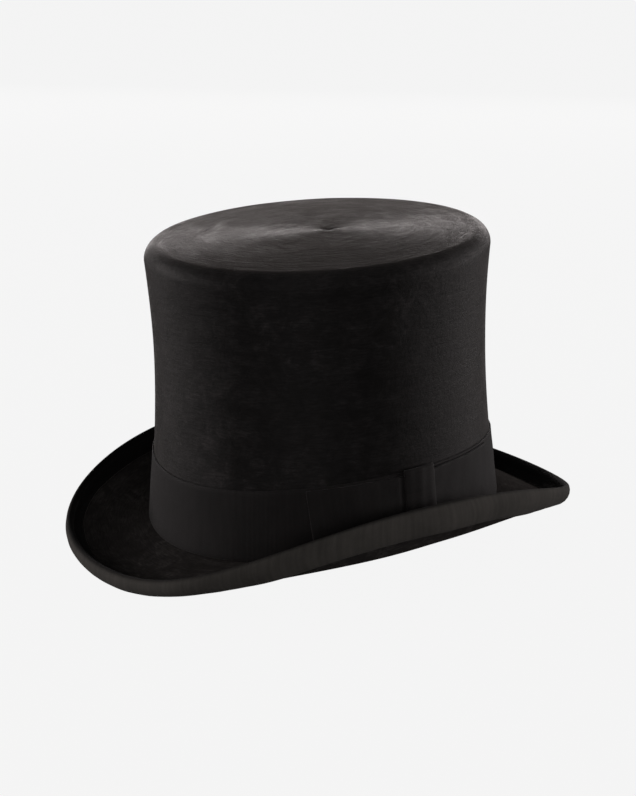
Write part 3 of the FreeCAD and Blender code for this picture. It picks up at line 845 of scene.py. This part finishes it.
# Lining: satin wall with soft upright folds, an oval top and a piped joint
liningCloth = dict(
    start=26.0, around=420, rows=30, shoulderRows=7, foldDepth=0.75, foldCount=26, seamAngle=2.75,
    topAround=240, topRows=34, sag=0.9,
)
piping = dict(around=480, radius=0.85, sides=10, ridge=0.07, twists=150, inward=1.6, drop=0.9)


def seamRidge(angle, seamAngle, width):        # 1 along an upright seam, 0 away from it
    return np.exp(-(np.angle(np.exp(1j * (angle - seamAngle))) / width) ** 2)


def liningFolds(angle, height):
    drift = 0.9 * np.sin(3 * angle + 0.5) + 0.5 * np.sin(7 * angle + 0.02 * height)
    fold = 0.5 + 0.5 * np.sin(liningCloth["foldCount"] * angle + 2.2 * drift + 0.004 * height)
    small = 0.5 + 0.5 * np.sin(61 * angle + 1.4 * np.sin(5 * angle) + 0.012 * height)
    return liningCloth["foldDepth"] * (fold ** 2 * 0.8 + 0.2 * small)


def makeLiningWall():
    angle = angleSteps(liningCloth["around"])
    top = hat["height"] - hat["shoulder"]
    low = brimLine(angle) + liningCloth["start"]
    seam = seamRidge(angle, liningCloth["seamAngle"], 0.012)
    rows = []
    for inward, backwards in ((0.0, False), (layer["lining"], True)):
        skin = []
        radius = hat["shoulder"] - liningInset - inward
        for share in np.linspace(0, 1, liningCloth["rows"]):
            height = low + (top - low) * share
            folds = (liningFolds(angle, height) + 0.5 * seam) * (inward > 0)
            skin.append(crownPoint(angle, height, liningInset + inward + folds))
        for turn in np.linspace(0, math.pi / 2, liningCloth["shoulderRows"])[1:]:
            folds = liningFolds(angle, top) * (inward > 0) * math.cos(turn * 0.9)
            reach = crownDraw(top) + liningInset + inward + radius * (1 - math.cos(turn))
            reach = reach + folds * math.cos(turn)
            skin.append(oval(angle, reach, top + radius * math.sin(turn) - folds * math.sin(turn)))
        rows += skin[::-1] if backwards else skin
    piece = gridMesh("liningWall", rows, closedAcross=True)
    addPiece(piece, satin, "lining_side")


def makeLiningTop():
    angle = angleSteps(liningCloth["topAround"])
    top = hat["height"] - hat["shoulder"]
    inward = crownDraw(top) + hat["shoulder"] + layer["gap"]
    level = hat["height"] - liningInset
    rows = []
    for share in (0.03, 0.2, 0.4, 0.6, 0.8, 1.0):
        rows.append(oval(angle, inward, level) * np.array([share, share, 1]))
    for share in np.linspace(1, 0.02, liningCloth["topRows"]):
        ring = oval(angle, inward, level - layer["lining"]) * np.array([share, share, 1])
        creases = 0.28 * np.sin(46 * angle + 2 * np.sin(3 * angle)) * share ** 5
        soft = 0.20 * np.sin(5 * angle + 9 * share) * share + 0.12 * np.sin(9 * angle - 7 * share) * share
        ring[:, 2] -= liningCloth["sag"] * (1 - share ** 2) + (creases + soft + 0.3) * (1 - share ** 12)
        rows.append(ring)
    middle = level - layer["lining"] - liningCloth["sag"] - 0.3
    piece = gridMesh("liningTop", rows, poleFirst=(0, 0, level), poleLast=(0, 0, middle))
    addPiece(piece, satin, "lining_tip")


# A cord round the hat on a path of centre points, with ridges that wind round it
def ringTube(name, centres, shape):
    forward = np.roll(centres, -1, axis=0) - np.roll(centres, 1, axis=0)
    forward /= np.linalg.norm(forward, axis=1, keepdims=True)
    out = np.cross(forward, np.array([0.0, 0.0, 1.0]))
    out /= np.linalg.norm(out, axis=1, keepdims=True)
    up = np.cross(out, forward)
    windings = shape["twists"] * angleSteps(len(centres))
    rows = []
    for turn in angleSteps(shape["sides"]):
        size = shape["radius"] + shape["ridge"] * np.cos(windings + turn)
        rows.append(centres + (out * math.cos(turn) + up * math.sin(turn)) * size[:, None])
    return gridMesh(name, rows, closedAcross=True)


def makeLiningPiping():
    angle = angleSteps(piping["around"])
    inward = crownDraw(hat["height"] - hat["shoulder"]) + hat["shoulder"] + piping["inward"]
    level = hat["height"] - liningInset - layer["lining"] - piping["drop"]
    addPiece(ringTube("liningPiping", oval(angle, inward, level), piping), satin, None)


# Leather sweatband with a reeded, stitched lower edge
sweat = dict(
    height=43.0, around=420, rows=26, lean=1.1, edgeWander=0.35, wave=0.25, seamAngle=3.02, seam=0.35,
    groove=0.16, grooveDrop=3.2, crease=0.2, creaseRise=5.0,        # a groove near the top, a crease low down
)
reed = dict(around=720, radius=0.95, sides=12, ridge=0.05, twists=220, drop=1.0)
stitch = dict(count=184, length=2.3, thickness=0.24, rise=2.6, proud=0.12, rings=7, sides=6)


def makeSweatband():
    angle = angleSteps(sweat["around"])
    low = brimLine(angle) - layer["board"] / 2
    edge = wander(angle, 41, (2, 3, 5, 8), sweat["edgeWander"])
    surface = unevenness(43, 20, sweat["wave"], 12, 0.10)
    seam = seamRidge(angle, sweat["seamAngle"], 0.008)
    rows = []
    for out, up in stripSection(sweat["height"], layer["sweatband"], sweat["rows"]):
        share = up / sweat["height"]
        lean = (sweat["lean"] + surface(angle, up)) * share ** 1.6
        detail = 0.0
        if out < layer["sweatband"] / 2:        # the face that shows
            detail = sweat["seam"] * seam
            detail = detail - sweat["groove"] * bump(up, sweat["height"] - sweat["grooveDrop"], 0.5)
            detail = detail - sweat["crease"] * bump(up, sweat["creaseRise"], 1.0)
        inset = sweatInset + layer["sweatband"] - out + lean + detail
        rows.append(crownPoint(angle, low + up + edge * share ** 3, inset))
    piece = gridMesh("sweatbandLeather", rows, closedAcross=True)
    addPiece(piece, leather, "sweatband")


def makeReed():
    angle = angleSteps(reed["around"])
    level = brimLine(angle) - layer["board"] / 2 - layer["gap"] - reed["drop"]
    path = crownPoint(angle, level, sweatInset + layer["sweatband"] / 2)
    addPiece(ringTube("sweatbandReedCord", path, reed), leather, "sweatband_reed")


def makeSweatbandStitches():        # short thread bars that bulge in the middle
    points, faces = [], []
    rings, sides, thick = stitch["rings"], stitch["sides"], stitch["thickness"]
    for i in range(stitch["count"]):
        angle = 2 * math.pi * i / stitch["count"]
        turned = np.array([angle, angle + 0.02])
        low = brimLine(turned) - layer["board"] / 2 + stitch["rise"]
        middle, ahead = crownPoint(turned, low, sweatInset + layer["sweatband"] + stitch["proud"])
        along = (ahead - middle) / np.linalg.norm(ahead - middle)
        inward = np.array([-math.sin(angle), math.cos(angle), 0.0])
        side = np.cross(inward, along)
        first = len(points)
        for share in np.linspace(-1, 1, rings):
            rise = (1 - share ** 2) ** 0.5
            centre = middle + along * share * stitch["length"] / 2 + inward * thick * (rise - 0.55)
            size = thick * (0.35 + 0.65 * rise)
            for turn in angleSteps(sides):
                points.append(centre + (side * math.cos(turn) + inward * math.sin(turn)) * size)
        for ring in range(first, first + (rings - 1) * sides, sides):
            for turn in range(sides):
                left, right = ring + turn, ring + (turn + 1) % sides
                faces.append((left, right, right + sides, left + sides))
        faces.append(tuple(first + turn for turn in range(sides))[::-1])
        faces.append(tuple(first + (rings - 1) * sides + turn for turn in range(sides)))
    piece = meshObject("sweatbandStitches", toScene(np.array(points)).tolist(), faces)
    addPiece(piece, tanThread, None)


# Small satin bow at the back of the sweatband
smallBow = dict(
    halfWidth=15.0, height=10.5, neck=5.0, flare=9.0, tuck=1.5, loop=0.75, out=0.45, ribbon=0.3,
    pleat=0.3, belly=0.9, rows=16, steps=20,
    knotHalf=2.6, knotHeight=3.2, knotOut=3.4, knotCorner=1.0, knotRows=13, knotSteps=48,
)


# Along to the wearer's left, out into the crown, up from the small bow's middle
def sweatSpot(along, out, up):
    angle = math.pi - along / hat["halfWidth"]
    level = brimLine(angle) - layer["board"] / 2 + sweat["height"] / 2 + up
    inset = sweatInset + layer["sweatband"] + sweat["lean"] * 0.45 + 0.35
    point = crownPoint(angle, level, inset)
    facing = np.stack([-np.sin(angle), np.cos(angle), 0 * angle], axis=-1)
    return point + facing * np.expand_dims(out, -1)


def makeSmallBow():
    share = np.linspace(0, 1, smallBow["rows"])[:, None]
    radius = smallBow["loop"]
    straight = np.linspace(0, 1, smallBow["steps"])[None, :]
    for side, name in ((-1, "satinBowRight"), (1, "satinBowLeft")):
        end = smallBow["halfWidth"] + 0.8 * np.sin(5 * share + side)
        lower = smallBow["tuck"] + (end - radius - smallBow["tuck"]) * straight
        fold = radius * (1 + np.sin(foldTurns)) + 0 * share
        distance = np.concatenate([lower, end - radius + radius * np.cos(foldTurns), lower[:, ::-1]], axis=1)
        out = np.concatenate([0 * lower, fold, 2 * radius + 0 * lower], axis=1)
        flare = smooth((distance - smallBow["tuck"]) / smallBow["flare"])
        height = smallBow["neck"] + (smallBow["height"] - smallBow["neck"]) * flare
        top = out / (2 * radius)
        pleats = smallBow["pleat"] * (1 + np.cos(17 * share + 2 * side)) * (1 - 0.7 * flare)
        belly = smallBow["belly"] * np.sin(math.pi * np.clip(distance / smallBow["halfWidth"], 0, 1))
        out = smallBow["out"] + out + top * (pleats + belly)
        up = (share - 0.5) * height + 0.25 * np.sin(distance * 0.4 + side)
        piece = gridMesh(name, sweatSpot(side * distance, out, up), closedRound=False)
        thicken(piece, smallBow["ribbon"])
        addPiece(piece, satin, "sweatband_bow" if side > 0 else None)
    up, out = loopPath(-smallBow["knotHeight"], smallBow["knotHeight"], smallBow["out"], smallBow["knotOut"],
                       smallBow["knotCorner"], smallBow["knotSteps"])
    up, out = up[None, :], out[None, :]
    across = np.linspace(-1, 1, smallBow["knotRows"])[:, None]
    bulge = 0.25 * np.cos(across * 6) * smooth((out - 0.5) / 3) - 0.4 * np.abs(across) ** 4
    rows = sweatSpot(across * smallBow["knotHalf"] + 0 * up, out + bulge, up + 0 * across)
    piece = gridMesh("satinBowKnot", rows)
    thicken(piece, smallBow["ribbon"])
    addPiece(piece, satin, None)


makeLiningWall()
makeLiningTop()
makeLiningPiping()
makeSweatband()
makeReed()
makeSweatbandStitches()
makeSmallBow()

for name in ("crown_side_shell", "crown_tip_shell", "brim_board"):
    shell = bpy.data.objects[name]
    shell.data.materials.clear()
    shell.data.materials.append(stiffCloth)
print("sealed shells given their cloth")


# Pale floor, lights and camera
studio = dict(
    floorSize=60.0, floorDrop=0.0002, floorColor=0.03, floorGlow=0.90, world=0.05,
    lightTint=(1.0, 0.93, 0.925), lightAim=(0, 0, 0.09),
)


def makeFloor():
    n = Nodes("paleFloor")
    speckle = n.noise(n.place(3.0), detail=3)
    tone = studio["floorColor"]
    color = n.blend(n.remap(speckle, 0.3, 0.7, 0, 1), (tone, tone, tone), (tone * 0.985,) * 3)
    n.shade(Base_Color=color, Roughness=0.9, Specular_IOR_Level=0.0, Emission_Color=(1, 1, 1, 1),
            Emission_Strength=studio["floorGlow"])
    bpy.ops.mesh.primitive_circle_add(vertices=96, radius=studio["floorSize"], fill_type="NGON",
                                      location=(0, 0, -studio["floorDrop"]))
    floor = bpy.context.object
    floor.name = "studioFloor"
    floor.data.materials.append(n.material)
    floor.visible_glossy = False
    floor.visible_diffuse = False


# Angles in degrees, clip in metres, the rest in millimetres from the middle of the brim line
view = dict(
    azimuth=54.656, elevation=18.81, roll=-1.354, distance=1043.58798, moveRight=-3.822067,
    moveUp=57.784375, lens=82.322864, sensor=36.0, clip=(0.05, 50),
)


def cameraAxes():
    azimuth, elevation, roll = (math.radians(view[key]) for key in ("azimuth", "elevation", "roll"))
    back = np.array([math.sin(azimuth) * math.cos(elevation), -math.cos(azimuth) * math.cos(elevation),
                     math.sin(elevation)])
    right = np.array([math.cos(azimuth), math.sin(azimuth), 0.0])
    up = np.cross(back, right)
    across = math.cos(roll) * right + math.sin(roll) * up
    above = -math.sin(roll) * right + math.cos(roll) * up
    return across, above, back


def makeCamera():
    across, above, back = cameraAxes()
    place = view["moveRight"] * across + view["moveUp"] * above + view["distance"] * back
    data = bpy.data.cameras.new("camera")
    data.sensor_width = view["sensor"]
    data.lens = view["lens"]
    data.clip_start, data.clip_end = view["clip"]
    camera = linked("camera", data)
    axes = turnForward(np.array([across, above, back]), pitch)
    matrix = Matrix.Identity(4)
    for column in range(3):
        for row in range(3):
            matrix[row][column] = axes[column][row]
    matrix.translation = Vector(toScene(place).tolist())
    camera.matrix_world = matrix
    scene.camera = camera


# Bearing is from straight behind the hat, a positive one towards the camera's left; rise is above level
panels = dict(
    backPanel=dict(bearing=0, rise=8.5, distance=1.9, width=2.2, height=0.30, radiance=4.5),
    rightPanel=dict(bearing=-80, rise=7, distance=1.6, width=1.9, height=0.52, radiance=3.1),
    leftPanel=dict(bearing=86, rise=7, distance=1.6, width=2.3, height=0.52, radiance=3.5),
    overheadPanel=dict(bearing=0, rise=88, distance=2.2, width=1.2, height=1.2, radiance=0.45),
    frontPanel=dict(bearing=176, rise=13, distance=2.4, width=2.2, height=1.0, radiance=1.2),
)


def makePanel(name, bearing, rise, distance, width, height, radiance):
    data = bpy.data.lights.new(name, "AREA")
    data.shape = "RECTANGLE"
    data.size, data.size_y = width, height
    data.energy = radiance * math.pi * width * height
    data.color = studio["lightTint"]
    light = linked(name, data)
    away = math.radians(view["azimuth"] + 180 + bearing)
    level = distance * math.cos(math.radians(rise))
    raised = distance * math.sin(math.radians(rise))
    offset = Vector((level * math.sin(away), -level * math.cos(away), raised))
    light.location = Vector(studio["lightAim"]) + offset
    light.rotation_euler = (-offset).to_track_quat("-Z", "Y").to_euler()


makeFloor()
makeCamera()
for name, values in panels.items():
    makePanel(name, **values)
world = bpy.data.worlds.new("studioWorld")
world.use_nodes = True
sky = world.node_tree.nodes["Background"]
sky.inputs["Color"].default_value = (1, 1, 1, 1)
sky.inputs["Strength"].default_value = studio["world"]
scene.world = world
scene.view_settings.view_transform = "Standard"
scene.view_settings.look = "None"
print("camera, floor and lights made")
